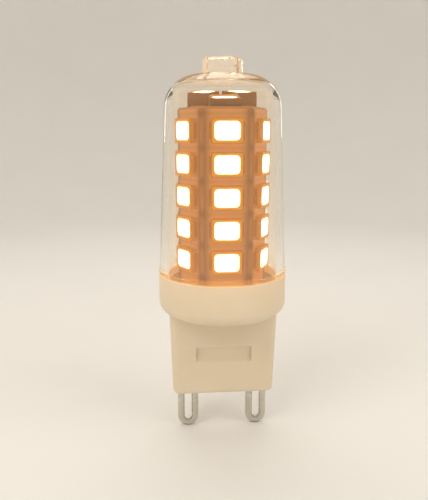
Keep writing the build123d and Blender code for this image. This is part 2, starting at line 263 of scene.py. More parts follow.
COVER_TOP = cover_high.z - NUB_H
CEILING = COVER_TOP - TOP_WALL
SPIGOT_R = COLLAR_R - SPIGOT_GAP
SPIGOT_INNER_R = SPIGOT_R - SPIGOT_WALL
LIP_FOOT = RIM_Z + LIP_SEAT
LIP_TOP = RIM_Z + LIP_H


def outer_r(z):
    """Radius of the cover's drafted outside at a height."""
    return COLLAR_R - COVER_STEP - (z - RIM_Z) * math.tan(OUTER_DRAFT)


def inner_r(z):
    """Radius of its drafted inside at a height."""
    return SPIGOT_INNER_R - (z - cover_low.z) * math.tan(INNER_DRAFT)


def shoulder_offset(radius, draft):
    """How far back from a drafted corner a round of that radius starts."""
    return radius * math.tan((math.pi / 2 - draft) / 2)


cover = bmesh.new()
spin_profile(cover, [
    (0, CEILING), (inner_r(CEILING), CEILING), (SPIGOT_INNER_R, cover_low.z), (SPIGOT_R, cover_low.z),
    (SPIGOT_R, LIP_FOOT), (COLLAR_R, LIP_FOOT), (COLLAR_R, LIP_TOP), (outer_r(LIP_TOP), LIP_TOP),
    (outer_r(COVER_TOP), COVER_TOP), (NUB_RING_R, COVER_TOP),
])
round_edges(cover, ring_edges(cover, outer_r(COVER_TOP), COVER_TOP),
            shoulder_offset(SHOULDER_R, OUTER_DRAFT), SHOULDER_SEGMENTS)
round_edges(cover, ring_edges(cover, inner_r(CEILING), CEILING),
            shoulder_offset(INNER_SHOULDER_R, INNER_DRAFT), SHOULDER_SEGMENTS)
lip_rings = ring_edges(cover, COLLAR_R, LIP_TOP) + ring_edges(cover, COLLAR_R, LIP_FOOT)
round_edges(cover, lip_rings, LIP_EDGE, segments=3)
print("cover wall:", len(cover.faces), "faces")

# %% Extrude the nub and bridge it to the top
NUB_SIDE = 3.9
NUB_DRAFT = math.radians(1.5)
NUB_CORNER_R = 0.3
NUB_EDGE = 0.2
NUB_TURN = math.radians(-27)
SQUARE = 4
OCTAGON = 8


def edges_between(vertices):
    """Edges whose two ends are both among the vertices."""
    chosen = set(vertices)
    linked = dict.fromkeys(edge for vertex in vertices for edge in vertex.link_edges)
    return [edge for edge in linked if all(vertex in chosen for vertex in edge.verts)]


def foot_faces(corners):
    """Faces of the nub's foot, which lies on the top and has more than that many corners."""
    level = [face for face in cover.faces if abs(face.calc_center_median().z - COVER_TOP) < TOUCH]
    return [face for face in level if len(face.verts) > corners]


nub_place = Matrix.Translation((0, 0, COVER_TOP)) @ Matrix.Rotation(NUB_TURN + math.pi / 4, 4, "Z")
nub_corners = bmesh.ops.create_circle(
    cover, cap_ends=True, segments=SQUARE, radius=NUB_SIDE / math.sqrt(2), matrix=nub_place)["verts"]
bmesh.ops.bevel(
    cover, geom=nub_corners, offset=NUB_CORNER_R, offset_type="OFFSET", segments=4,
    profile=0.5, affect="VERTICES", material=-1,
)
raised = bmesh.ops.extrude_face_region(cover, geom=foot_faces(SQUARE), use_keep_orig=False)["geom"]
nub_top = [part for part in raised if isinstance(part, bmesh.types.BMVert)]
shrink = 1 - NUB_H * math.tan(NUB_DRAFT) / (NUB_SIDE / 2)
bmesh.ops.scale(cover, vec=(shrink, shrink, 1), verts=nub_top)
bmesh.ops.translate(cover, vec=(0, 0, NUB_H), verts=nub_top)
round_edges(cover, edges_between(nub_top), NUB_EDGE, segments=4)
bmesh.ops.delete(cover, geom=foot_faces(OCTAGON), context="FACES_ONLY")
bmesh.ops.bridge_loops(cover, edges=[edge for edge in cover.edges if edge.is_boundary])
bmesh.ops.recalc_face_normals(cover, faces=cover.faces)
print("edges left open:", sum(not edge.is_manifold for edge in cover.edges))
for face in cover.faces:
    face.material_index = 1 if face.calc_center_median().z > COVER_TOP + NUB_EDGE else 0
finish_piece("clear_cover", cover, [clear_polycarbonate, gate_polycarbonate], "clear_polycarbonate", "cover")

# %% [markdown]
# ## White moulded polycarbonate
# The collar and plug are one white moulding with a fine spark-eroded satin, faintly see-through at its thin
# rim, where the light of the lowest LEDs soaks in and warms it. The satin is a fine noise bump, drawn
# coarser than the real grain of a few hundredths of a millimetre so that it shows. That light is a painted
# glow, which grows along the height of the collar and is strongest at the rim.

# %% Housing material
GRAIN_MM = 0.18
CLOUD_MM = 3
GLOW_RISE_START_Z = 0.5
RIM_GLOW_START_Z = RIM_Z - 0.18


def make_white_polycarbonate():
    """White satin plastic, with a painted glow that grows towards the rim for the light inside."""
    material, tree, output = new_material("white_polycarbonate_satin")
    place = add_node(tree, "TexCoord").outputs["Object"]
    height = add_node(tree, "SeparateXYZ", {"Vector": place}).outputs["Z"]
    upwards = add_node(tree, "MapRange", {
        "Value": height, "From Min": GLOW_RISE_START_Z * MM, "From Max": RIM_Z * MM,
    })
    at_rim = add_node(tree, "MapRange", {
        "Value": height, "From Min": RIM_GLOW_START_Z * MM, "From Max": RIM_Z * MM,
    })
    cloud = add_node(tree, "TexNoise", {"Vector": place, "Scale": per_metre(CLOUD_MM), "Detail": 3})
    plastic = add_node(tree, "Mix", {
        "Factor": cloud.outputs[0], "A": linear("#E6D4B6"), "B": linear("#EDDEC4"),
    }, data_type="RGBA")
    # Painted glow: emission that grows up the collar and is strongest at its rim, for the LEDs' light soaking
    # in.
    painted_glow_rising = add_node(tree, "Mix", {
        "Factor": upwards.outputs[0], "A": linear("#000000"), "B": linear("#523416"),
    }, data_type="RGBA")
    lit = add_node(tree, "Mix", {
        "Factor": at_rim.outputs[0], "A": painted_glow_rising.outputs["Result"], "B": linear("#A87438"),
    }, data_type="RGBA")
    grain = add_node(tree, "TexNoise", {"Vector": place, "Scale": per_metre(GRAIN_MM), "Detail": 2})
    bump = add_node(tree, "Bump", {"Strength": 0.12, "Distance": 0.02 * MM, "Height": grain.outputs[0]})
    rough = add_node(tree, "MapRange", {"Value": cloud.outputs[0], "To Min": 0.36, "To Max": 0.46})
    shader = add_node(tree, "BsdfPrincipled", {
        "Base Color": plastic.outputs["Result"], "Roughness": rough.outputs[0], "IOR": 1.58,
        "Subsurface Weight": 0.15, "Subsurface Radius": (1.0, 0.6, 0.3), "Subsurface Scale": 0.6 * MM,
        "Emission Color": lit.outputs["Result"], "Emission Strength": 1.0, "Normal": bump.outputs[0],
    })
    tree.links.new(shader.outputs[0], output.inputs["Surface"])
    return material


white_polycarbonate = make_white_polycarbonate()
print("material:", white_polycarbonate.name)

# %% [markdown]
# ## The collar and plug
# Collar and plug are one hollow moulding. The collar is spun, the plug is a tapered box with rounded
# corners, and the two are joined as solids. The pocket for the driver, the holes for the wires and the two
# grooves that springs snap into are then cut away in one go. Extruding all this from one mesh would be
# possible, but a boolean cuts a round groove into a tapered wall cleanly.

# %% Spin the collar
RIM_WALL = 0.5
LEDGE_W = 1.3
COLLAR_FLOOR = 1.2
COLLAR_EDGE_R = 1.5
RIM_EDGE = 0.14

strip_low, strip_high = measured("led_strip_1")
LEDGE_Z = strip_low.z
REBATE_R = COLLAR_R - RIM_WALL
CAVITY_R = REBATE_R - LEDGE_W

collar = bmesh.new()
spin_profile(collar, [
    (0, COLLAR_FLOOR), (CAVITY_R, COLLAR_FLOOR), (CAVITY_R, LEDGE_Z), (REBATE_R, LEDGE_Z),
    (REBATE_R, RIM_Z), (COLLAR_R, RIM_Z), (COLLAR_R, 0), (0, 0),
])
round_edges(collar, ring_edges(collar, COLLAR_R, 0), COLLAR_EDGE_R, segments=10)
round_edges(collar, ring_edges(collar, COLLAR_R, RIM_Z), RIM_EDGE, segments=3)
print("collar:", len(collar.faces), "faces, its ledge at", LEDGE_Z, "mm")


# %% Make boxes, and join or cut solids
def add_box(bm, size, centre):
    """Adds a plain box and returns its vertices."""
    corners = bmesh.ops.create_cube(bm, size=1)["verts"]
    bmesh.ops.scale(bm, vec=size, verts=corners)
    bmesh.ops.translate(bm, vec=centre, verts=corners)
    return corners


def upright_edges(vertices):
    """Edges among the vertices that run upwards."""
    return [e for e in edges_between(vertices) if abs(e.verts[0].co.z - e.verts[1].co.z) > TOUCH]


def combined(bm, other, operation):
    """The union or difference of two closed shapes, as a new bmesh."""
    objects = []
    for shape in (bm, other):
        mesh = bpy.data.meshes.new("shape")
        shape.to_mesh(mesh)
        shape.free()
        objects.append(bpy.data.objects.new("shape", mesh))
        bpy.context.scene.collection.objects.link(objects[-1])
    modifier = objects[0].modifiers.new("combine", "BOOLEAN")
    modifier.operation = operation
    modifier.solver = "EXACT"
    modifier.object = objects[1]
    evaluated = objects[0].evaluated_get(bpy.context.evaluated_depsgraph_get())
    result = bmesh.new()
    result.from_mesh(evaluated.to_mesh())
    evaluated.to_mesh_clear()
    for helper in objects:
        mesh = helper.data
        bpy.data.objects.remove(helper)
        bpy.data.meshes.remove(mesh)
    print(f"{operation.lower()}: {len(result.faces)} faces")
    return result


# %% Shape the plug and join it to the collar
PLUG_W = 13.6
PLUG_T = 5.6
PLUG_DRAFT = math.radians(2)
PLUG_CORNER_R = 1.0
PLUG_EDGE_R = 0.5
PLUG_ROOT = 0.6

plug = bmesh.new()
plug_size = (PLUG_W, PLUG_T, PLUG_ROOT - PLUG_END_Z)
plug_corners = add_box(plug, plug_size, (0, 0, (PLUG_ROOT + PLUG_END_Z) / 2))
plug_tip = [vertex for vertex in plug_corners if vertex.co.z < 0]
draw_in = -PLUG_END_Z * math.tan(PLUG_DRAFT)
bmesh.ops.scale(plug, vec=(1 - 2 * draw_in / PLUG_W, 1 - 2 * draw_in / PLUG_T, 1), verts=plug_tip)
round_edges(plug, upright_edges(plug_corners), PLUG_CORNER_R, segments=6)
tip_edges = edges_between([vertex for vertex in plug.verts if abs(vertex.co.z - PLUG_END_Z) < TOUCH])
round_edges(plug, tip_edges, PLUG_EDGE_R, segments=5)
housing = combined(collar, plug, "UNION")

# %% Cut the pocket, the wire holes and the spring grooves
PIN_PITCH = 9.0
LOOP_PITCH = 1.8
WIRE_R = 0.45
PLUG_WALL = 0.8
PLUG_FLOOR = 2.4
WIRE_GAP = 0.25
BORE_GAP = 0.03
OUTER_LEG_IN = 1.8
GRIP_L = 7.0
GRIP_R = 1.4
GRIP_DEPTH = 0.45
GRIP_DROP = 5.2
GRIP_SEGMENTS = 48
CUT_PAST = 0.2

INNER_LEG_X = (PIN_PITCH - LOOP_PITCH) / 2
OUTER_LEG_X = (PIN_PITCH + LOOP_PITCH) / 2
POCKET_FLOOR_Z = PLUG_END_Z + PLUG_FLOOR
POCKET_W = 2 * (INNER_LEG_X + WIRE_R + WIRE_GAP)
POCKET_T = PLUG_T - 2 * PLUG_WALL
POCKET_H = COLLAR_FLOOR + CUT_PAST - POCKET_FLOOR_Z


def add_rod(bm, radius, length, place, segments=32):
    """Adds a closed round rod along the Z of its place, with its middle at the place."""
    bmesh.ops.create_cone(
        bm, cap_ends=True, segments=segments, radius1=radius, radius2=radius, depth=length, matrix=place)


cutters = bmesh.new()
add_box(cutters, (POCKET_W, POCKET_T, POCKET_H), (0, 0, POCKET_FLOOR_Z + POCKET_H / 2))
groove_y = PLUG_T / 2 - GRIP_DROP * math.tan(PLUG_DRAFT) + GRIP_R - GRIP_DEPTH
for side in (-1, 1):
    lying = Matrix.Translation((0, side * groove_y, -GRIP_DROP)) @ Matrix.Rotation(math.pi / 2, 4, "Y")
    add_rod(cutters, GRIP_R, GRIP_L, lying, GRIP_SEGMENTS)
    for leg_x, depth in ((INNER_LEG_X, PLUG_FLOOR), (OUTER_LEG_X, OUTER_LEG_IN)):
        hole = Matrix.Translation((side * leg_x, 0, PLUG_END_Z + depth / 2))
        add_rod(cutters, WIRE_R + BORE_GAP, depth + CUT_PAST, hole)
housing = combined(housing, cutters, "DIFFERENCE")
finish_piece("collar_and_plug", housing, [white_polycarbonate], "white_polycarbonate", "base_housing")

# %% [markdown]
# ## Tinned wire, and other plain finishes
# The contacts are drawn copper wire with a bright tin coat, which is metal with a fairly sharp reflection and
# faint lengths of duller skin. One recipe serves it and all the plainer finishes further on: two close tones
# of a colour, with a fine relief and a roughness that follow the same noise. A finish that lies near the
# LEDs is also given a painted glow for some of their light.

# %% Plain finishes
ROUGHNESS_SPREAD = 0.06


def make_plain_finish(name, dark, light, size_mm, roughness, metallic=0.0, lit="#000000"):
    """A finish with two close tones and a matching fine relief, with a painted glow where it lies near the
    LEDs.
    """
    material, tree, output = new_material(name)
    place = add_node(tree, "TexCoord").outputs["Object"]
    cloud = add_node(tree, "TexNoise", {"Vector": place, "Scale": per_metre(size_mm), "Detail": 4})
    tone = add_node(tree, "Mix", {
        "Factor": cloud.outputs[0], "A": linear(dark), "B": linear(light),
    }, data_type="RGBA")
    rough = add_node(tree, "MapRange", {
        "Value": cloud.outputs[0],
        "To Min": roughness - ROUGHNESS_SPREAD, "To Max": roughness + ROUGHNESS_SPREAD,
    })
    bump = add_node(tree, "Bump", {"Strength": 0.15, "Distance": 0.02 * MM, "Height": cloud.outputs[0]})
    # The lit colour is a painted glow, even over the whole surface.
    shader = add_node(tree, "BsdfPrincipled", {
        "Base Color": tone.outputs["Result"], "Roughness": rough.outputs[0], "Metallic": metallic,
        "Normal": bump.outputs[0], "Emission Color": linear(lit), "Emission Strength": 1.0,
    })
    tree.links.new(shader.outputs[0], output.inputs["Surface"])
    return material


tinned_wire = make_plain_finish(
    "tinned_copper_wire_drawn", "#BDB8AE", "#DDD9D0", size_mm=0.6, roughness=0.26, metallic=1.0)
print("material:", tinned_wire.name)

# %% [markdown]
# ## The wire-loop pins
# Each contact is one length of wire, bent into a narrow loop below the plug. A curve with a round bevel would
# do, but here the wire is bent as it really is: a disc at the end of the inner leg is extruded down, spun
# half a turn and extruded up into its blind hole.

# %% Bend the two loops
WIRE_SEGMENTS = 20
BEND_STEPS = 18
END_EDGE = 0.08

pin_low, pin_high = measured("contact_pin_right")
PIN_TIP_Z = pin_low.z
BEND_Z = PIN_TIP_Z + LOOP_PITCH / 2 + WIRE_R

for side, node in ((-1, "contact_pin_left"), (1, "contact_pin_right")):
    pin = bmesh.new()
    top = Matrix.Translation((side * INNER_LEG_X, 0, pin_high.z))
    rim = bmesh.ops.create_circle(
        pin, cap_ends=False, segments=WIRE_SEGMENTS, radius=WIRE_R, matrix=top)["verts"]
    line = edges_between(rim)
    for step in ((0, 0, BEND_Z - pin_high.z), None, (0, 0, PLUG_END_Z + OUTER_LEG_IN - BEND_Z)):
        if step:
            moved = bmesh.ops.extrude_edge_only(pin, edges=line)["geom"]
            ends = [part for part in moved if isinstance(part, bmesh.types.BMVert)]
            bmesh.ops.translate(pin, vec=step, verts=ends)
        else:
            turned = bmesh.ops.spin(
                pin, geom=line, cent=(side * PIN_PITCH / 2, 0, BEND_Z), axis=(0, -side, 0),
                angle=math.pi, steps=BEND_STEPS)["geom_last"]
            ends = [part for part in turned if isinstance(part, bmesh.types.BMVert)]
        line = edges_between(ends)
    caps = bmesh.ops.holes_fill(pin, edges=[edge for edge in pin.edges if edge.is_boundary])["faces"]
    bmesh.ops.recalc_face_normals(pin, faces=pin.faces)
    round_edges(pin, [edge for face in caps for edge in face.edges], END_EDGE, segments=2)
    finish_piece(f"wire_loop_{node.split('_')[-1]}", pin, [tinned_wire], "tinned_wire", node)

# %% [markdown]
# ## White solder mask and sawn glass fibre
# The strips are glass-fibre boards under white solder mask, which is opaque and slightly glossy, and copper
# tracks under it show as faint raised lines. On a lit bulb the mask is only ever seen in the amber light of
# the LEDs, which plain studio light would wash out, so that amber light is painted into its colour. A painted
# glow also makes it brightest close to each LED. That halo is worked out from the board's own UV map, which
# is in millimetres, as the distance to the nearest LED's edge.

# %% Size of an LED, and where the rows are
LED_L = 3.5
LED_W = 2.8
LED_RIM = 0.32
LED_ROWS = 5

leds_low, leds_high = measured("led_frames_1")
LED_PITCH = (leds_high.z - leds_low.z - LED_W) / (LED_ROWS - 1)
FIRST_ROW_Z = leds_low.z + LED_W / 2
WINDOW_L = LED_L - 2 * LED_RIM
WINDOW_W = LED_W - 2 * LED_RIM
print(f"LED rows {LED_PITCH:.2f} mm apart from {FIRST_ROW_Z:.2f} mm")

# %% White solder mask, and the lit arris at its edge
MASK_CLOUD_MM = 1.5
WEAVE_MM = 0.3
TRACK_PITCH_MM = 1.2566
BANDS_PER_UNIT = 20 / math.tau


def make_lit_board(name, dark, light, lit, lamp_l, lamp_w, halo_mm):
    """A board's surface with a painted glow, brightest within lamp_l by lamp_w round each LED, and fading
    over halo_mm beyond.
    """
    material, tree, output = new_material(name)
    flat = add_node(tree, "UVMap", uv_map="board_mm").outputs["UV"]
    sides = add_node(tree, "SeparateXYZ", {"Vector": flat})
    row = add_node(tree, "Math", {
        0: sides.outputs["Y"], 1: FIRST_ROW_Z - LED_PITCH / 2,
    }, operation="SUBTRACT")
    in_row = add_node(tree, "Math", {0: row.outputs[0], 1: LED_PITCH}, operation="FLOORED_MODULO")
    along = add_node(tree, "Math", {0: in_row.outputs[0], 1: LED_PITCH / 2}, operation="SUBTRACT")
    gaps = []
    for distance, half in ((sides.outputs["X"], lamp_l / 2), (along.outputs[0], lamp_w / 2)):
        out = add_node(tree, "Math", {0: distance}, operation="ABSOLUTE")
        gap = add_node(tree, "Math", {0: out.outputs[0], 1: half}, operation="SUBTRACT", use_clamp=True)
        gaps.append(gap.outputs[0])
    apart = add_node(tree, "CombineXYZ", {"X": gaps[0], "Y": gaps[1]})
    reach = add_node(tree, "VectorMath", {0: apart.outputs[0]}, operation="LENGTH")
    halo = add_node(tree, "MapRange", {
        "Value": reach.outputs["Value"], "From Min": halo_mm, "From Max": 0.0,
    }, interpolation_type="SMOOTHSTEP")
    place = add_node(tree, "TexCoord").outputs["Object"]
    cloud = add_node(tree, "TexNoise", {"Vector": place, "Scale": per_metre(MASK_CLOUD_MM), "Detail": 4})
    mask = add_node(tree, "Mix", {
        "Factor": cloud.outputs[0], "A": linear(dark), "B": linear(light),
    }, data_type="RGBA")
    glow = add_node(tree, "Mix", {
        "Factor": halo.outputs[0], "A": linear("#060301"), "B": linear(lit),
    }, data_type="RGBA")
    track = add_node(tree, "TexWave", {
        "Vector": flat, "Scale": 1 / (TRACK_PITCH_MM * BANDS_PER_UNIT), "Distortion": 0.0,
    }, wave_type="BANDS", bands_direction="X", wave_profile="SAW")
    weave = add_node(tree, "TexNoise", {"Vector": place, "Scale": per_metre(WEAVE_MM), "Detail": 2})
    relief = add_node(tree, "Math", {0: track.outputs[1], 1: weave.outputs[0]}, operation="ADD")
    bump = add_node(tree, "Bump", {"Strength": 0.15, "Distance": 0.03 * MM, "Height": relief.outputs[0]})
    shader = add_node(tree, "BsdfPrincipled", {
        "Base Color": mask.outputs["Result"], "Roughness": 0.38, "IOR": 1.52,
        "Emission Color": glow.outputs["Result"], "Emission Strength": 1.0, "Normal": bump.outputs[0],
    })
    tree.links.new(shader.outputs[0], output.inputs["Surface"])
    return material


# Painted amber light in both masks' colours. Their glow is painted too, and on the arris it is a painted
# highlight beside each row of LEDs.
strip_mask = make_lit_board(
    "white_solder_mask", "#AC702C", "#B67C38", lit="#AE7438", lamp_l=WINDOW_L, lamp_w=LED_W, halo_mm=1.5)
lit_arris = make_lit_board(
    "white_solder_mask_arris", "#A86C28", "#B27834", lit="#845628", lamp_l=2 * LED_L, lamp_w=2.0, halo_mm=1.4)
print("materials:", strip_mask.name, lit_arris.name)

# %% Cut edge of the glass-fibre board
# Real fibres are a hundredth of a millimetre thick. They are drawn coarser, so that the streaks show.
FIBRE_MM = 0.12
FIBRE_SQUEEZE = 0.12


def make_cut_edge():
    """Sawn glass fibre in resin, dry and streaked along the cut. Its tan is painted amber and dark for the
    LEDs' light and the shade it lies in, and a painted glow stands in for their light through it.
    """
    material, tree, output = new_material("glass_fibre_cut_edge")
    place = add_node(tree, "TexCoord").outputs["Object"]
    long = add_node(tree, "Mapping", {"Vector": place, "Scale": (1, 1, FIBRE_SQUEEZE)})
    fibres = add_node(tree, "TexNoise", {
        "Vector": long.outputs[0], "Scale": per_metre(FIBRE_MM), "Detail": 3,
    })
    resin = add_node(tree, "Mix", {
        "Factor": fibres.outputs[0], "A": linear("#A87A4C"), "B": linear("#C89A68"),
    }, data_type="RGBA")
    bump = add_node(tree, "Bump", {"Strength": 0.3, "Distance": 0.03 * MM, "Height": fibres.outputs[0]})
    shader = add_node(tree, "BsdfPrincipled", {
        "Base Color": resin.outputs["Result"], "Roughness": 0.6, "IOR": 1.54, "Normal": bump.outputs[0],
        # Painted glow: an even faint amber for the LEDs' light coming through the fibre.
        "Emission Color": linear("#2A1A0A"), "Emission Strength": 1.0,
    })
    tree.links.new(shader.outputs[0], output.inputs["Surface"])
    return material


cut_edge = make_cut_edge()
print("material:", cut_edge.name)

# %% [markdown]
# ## The strip boards
# Six boards with mitred edges close a hexagon, each with a tab at its foot that goes into the base board. One
# section is extruded and stamped six times, which keeps the six alike. The outer edges get a flat chamfer,
# which shows as a soft crease where two strips meet. The broad faces get solder mask and the sawn sides bare
# glass fibre, and a UV map in millimetres lets the mask's material know where the LEDs are.

# %% Find the places round the column
STRIP_COUNT = 6

STRIP_FACE_R = -strip_low.y
STRIP_T = strip_high.y - strip_low.y
HALF_TURN = math.pi / STRIP_COUNT
STRIP_HALF_W = STRIP_FACE_R * math.tan(HALF_TURN)


def turn_of(index, count):
    """Angle about the axis of one of count places, the first at the front."""
    return math.tau * index / count - math.pi / 2


def strip_place(index, z):
    """Place on a strip's outer face: X runs round the column, Y up, and Z outwards."""
    turn = turn_of(index, STRIP_COUNT)
    outwards = Vector((math.cos(turn), math.sin(turn), 0))
    along = Vector((-outwards.y, outwards.x, 0))
    axes = Matrix((along, (0, 0, 1), outwards)).transposed().to_4x4()
    return Matrix.Translation(outwards * STRIP_FACE_R + Vector((0, 0, z))) @ axes


def add_placed(bm, make_shape, place):
    """Makes one shape at the origin of a bmesh that may hold others, and moves only it to its place."""
    others = set(bm.verts)
    make_shape(bm)
    made = [vertex for vertex in bm.verts if vertex not in others]
    bmesh.ops.transform(bm, matrix=place, verts=made)


print(f"strips {2 * STRIP_HALF_W:.2f} mm wide and {STRIP_T:.2f} mm thick")

# %% Stamp the six strips
TAB_W = 2.0
BOARD_EDGE = 0.28
FLAT_FACE = 0.95
LEANING_FACE = 0.1
MASK, CUT, ARRIS = range(3)

STRIP_TOP = strip_high.z
BASE_BOARD_TOP = measured("base_board")[1].z


def add_strip(bm):
    """One strip board, its outer face on the XY plane and its height along Y."""
    back = STRIP_HALF_W - STRIP_T * math.tan(HALF_TURN)
    section = [(-STRIP_HALF_W, 0), (STRIP_HALF_W, 0), (back, -STRIP_T), (-back, -STRIP_T)]
    foot = bm.faces.new([bm.verts.new((x, BASE_BOARD_TOP, z)) for x, z in section])
    raised = bmesh.ops.extrude_face_region(bm, geom=[foot], use_keep_orig=True)["geom"]
    head = [part for part in raised if isinstance(part, bmesh.types.BMVert)]
    bmesh.ops.translate(bm, vec=(0, STRIP_TOP - BASE_BOARD_TOP, 0), verts=head)
    front = [edge for edge in bm.edges if all(vertex.co.z > -TOUCH for vertex in edge.verts)]
    arrises = [edge for edge in front if any(vertex in head for vertex in edge.verts)]
    round_edges(bm, arrises, BOARD_EDGE, segments=1)
    tab_size = (TAB_W, BASE_BOARD_TOP - LEDGE_Z, STRIP_T)
    add_box(bm, tab_size, (0, (BASE_BOARD_TOP + LEDGE_Z) / 2, -STRIP_T / 2))
    bmesh.ops.recalc_face_normals(bm, faces=bm.faces)
    sheet = bm.loops.layers.uv.verify()
    for face in bm.faces:
        leaning = ARRIS if face.normal.z > LEANING_FACE else CUT
        face.material_index = MASK if abs(face.normal.z) > FLAT_FACE else leaning
        for loop in face.loops:
            loop[sheet].uv = loop.vert.co.xy


for index in range(STRIP_COUNT):
    strip = bmesh.new()
    strip.loops.layers.uv.new("board_mm")
    add_placed(strip, add_strip, strip_place(index, 0))
    finish_piece(f"strip_board_{index + 1}", strip, [strip_mask, cut_edge, lit_arris], "white_board",
                 f"led_strip_{index + 1}")

# %% [markdown]
# ## The top board
# A small hexagonal board closes the column, flush with the strips' upper ends. It is a six-sided cone of
# even width, with solder mask on its faces and bare glass fibre round its rim. It has no rows of LEDs to
# follow, so a plain finish with an even painted amber glow is enough for its mask, whose colour is painted
# amber as well.

# %% Shape the top board
# Painted amber light in the mask's colour, and an even painted glow.
flat_mask = make_plain_finish(
    "white_solder_mask_flat", "#A86C28", "#B27834", size_mm=MASK_CLOUD_MM, roughness=0.38, lit="#5E3E1C")
top_low, top_high = measured("top_board")
thickness = top_high.z - top_low.z
disc = bmesh.new()
bmesh.ops.create_cone(
    disc, cap_ends=True, segments=STRIP_COUNT, radius1=top_high.x, radius2=top_high.x, depth=thickness,
    matrix=Matrix.Translation((0, 0, top_low.z + thickness / 2)) @ Matrix.Rotation(HALF_TURN, 4, "Z"))
for face in disc.faces:
    face.material_index = MASK if abs(face.normal.z) > FLAT_FACE else CUT
finish_piece("crown_board", disc, [flat_mask, cut_edge], "white_board", "top_board")

# %% [markdown]
# ## LED materials
# An LED package is a white nylon frame round a window of clear silicone filled with phosphor, which turns the
# chip's blue light to warm white. The window is far brighter than the rest, white hot in its middle and
# yellow at its edge, and the frame round it is lit through, which a painted glow stands in for. A glow
# attribute on the vertices, made with the shapes below, tells both materials how strongly each spot is lit.
# The terminals are reflowed tin solder. Frames and terminals are painted amber, the LEDs' light on white
# nylon and grey tin, and the crown's frames are painted darker as painted shade.

# %% LED frame, phosphor and solder
# The clouds in the nylon and the grains of phosphor are drawn coarser than they are, so that they show.
NYLON_CLOUD_MM = 0.4
PHOSPHOR_GRAIN_MM = 0.25
PHOSPHOR_UNEVEN = 0.3
LED_STRENGTH = 7.0


def make_led_frame_plastic(name, dark, light, shade):
    """White moulded nylon, painted amber and given a painted glow from the window it holds: the glow
    attribute is 1 at the window.
    """
    material, tree, output = new_material(name)
    glow = add_node(tree, "Attribute", attribute_name="glow").outputs["Fac"]
    place = add_node(tree, "TexCoord").outputs["Object"]
    cloud = add_node(tree, "TexNoise", {"Vector": place, "Scale": per_metre(NYLON_CLOUD_MM), "Detail": 2})
    nylon = add_node(tree, "Mix", {
        "Factor": cloud.outputs[0], "A": linear(dark), "B": linear(light),
    }, data_type="RGBA")
    lit = add_node(tree, "Mix", {
        "Factor": glow, "A": linear(shade), "B": linear("#D08A20"),
    }, data_type="RGBA")
    bump = add_node(tree, "Bump", {"Strength": 0.1, "Distance": 0.02 * MM, "Height": cloud.outputs[0]})
    shader = add_node(tree, "BsdfPrincipled", {
        "Base Color": nylon.outputs["Result"], "Roughness": 0.42, "IOR": 1.53, "Normal": bump.outputs[0],
        "Emission Color": lit.outputs["Result"], "Emission Strength": 0.8,
    })
    tree.links.new(shader.outputs[0], output.inputs["Surface"])
    return material


def make_phosphor():
    """Silicone filled with yellow phosphor, lit by the chip under it."""
    material, tree, output = new_material("phosphor_silicone_lit")
    glow = add_node(tree, "Attribute", attribute_name="glow").outputs["Fac"]
    place = add_node(tree, "TexCoord").outputs["Object"]
    grains = add_node(tree, "TexNoise", {
        "Vector": place, "Scale": per_metre(PHOSPHOR_GRAIN_MM), "Detail": 2,
    })
    uneven = add_node(tree, "Math", {
        0: grains.outputs[0], 1: PHOSPHOR_UNEVEN, 2: -PHOSPHOR_UNEVEN / 2,
    }, operation="MULTIPLY_ADD")
    level = add_node(tree, "Math", {0: glow, 1: uneven.outputs[0]}, operation="ADD", use_clamp=True)
    light = add_node(tree, "Mix", {
        "Factor": level.outputs[0], "A": linear("#74541F"), "B": linear("#FFEFCB"),
    }, data_type="RGBA")
    shader = add_node(tree, "BsdfPrincipled", {
        "Base Color": linear("#F5D488"), "Roughness": 0.3, "IOR": 1.41,
        "Emission Color": light.outputs["Result"], "Emission Strength": LED_STRENGTH,
    })
    tree.links.new(shader.outputs[0], output.inputs["Surface"])
    return material


# Painted amber light in both frames' colours; the crown's copy is painted shade, darker and with almost no
# glow.
led_frame_plastic = make_led_frame_plastic("led_frame_nylon", "#C88424", "#D69636", "#8C5412")
crown_frame_plastic = make_led_frame_plastic("led_frame_nylon_shaded", "#7E4A12", "#925C20", "#0A0501")
phosphor = make_phosphor()
# Painted amber light: tin solder is silver grey, and its colour and glow here stand in for the LEDs' light on
# it.
tin_solder = make_plain_finish(
    "tin_solder_reflowed", "#96621E", "#C48A3C", size_mm=0.5, roughness=0.5, metallic=1.0, lit="#7A4A12")
print("materials:", led_frame_plastic.name, crown_frame_plastic.name, phosphor.name, tin_solder.name)

# %% [markdown]
# ## The LEDs
# Each LED is a moulded frame with a tapered pocket, filled with phosphor silicone, and a soldered terminal at
# each end. A pocket could be cut by a boolean, but insetting the box's lid twice gives cleaner faces. The
# pocket's corners and one marked outer corner are bevelled, and the phosphor is made the same way. The three
# shapes are made at the origin and stamped on each place, so that all LEDs are alike.

# %% The moulded frame
LED_H = 0.7
LED_MARK = 0.35
WINDOW_DEPTH = 0.45
WINDOW_CORNER = 0.45
WINDOW_TAPER = math.radians(25)
FRAME_EDGE = 0.05
SIDE_SHADE = 0.7

POCKET_STEP = WINDOW_DEPTH * math.tan(WINDOW_TAPER)
RIM_MID_L = WINDOW_L + LED_RIM
RIM_MID_W = WINDOW_W + LED_RIM


def top_face(vertices):
    """The face among the vertices that looks straight up and lies highest."""
    faces = {face for vertex in vertices for face in vertex.link_faces}
    return max(faces, key=lambda face: (face.normal.z > FLAT_FACE, face.calc_center_median().z))


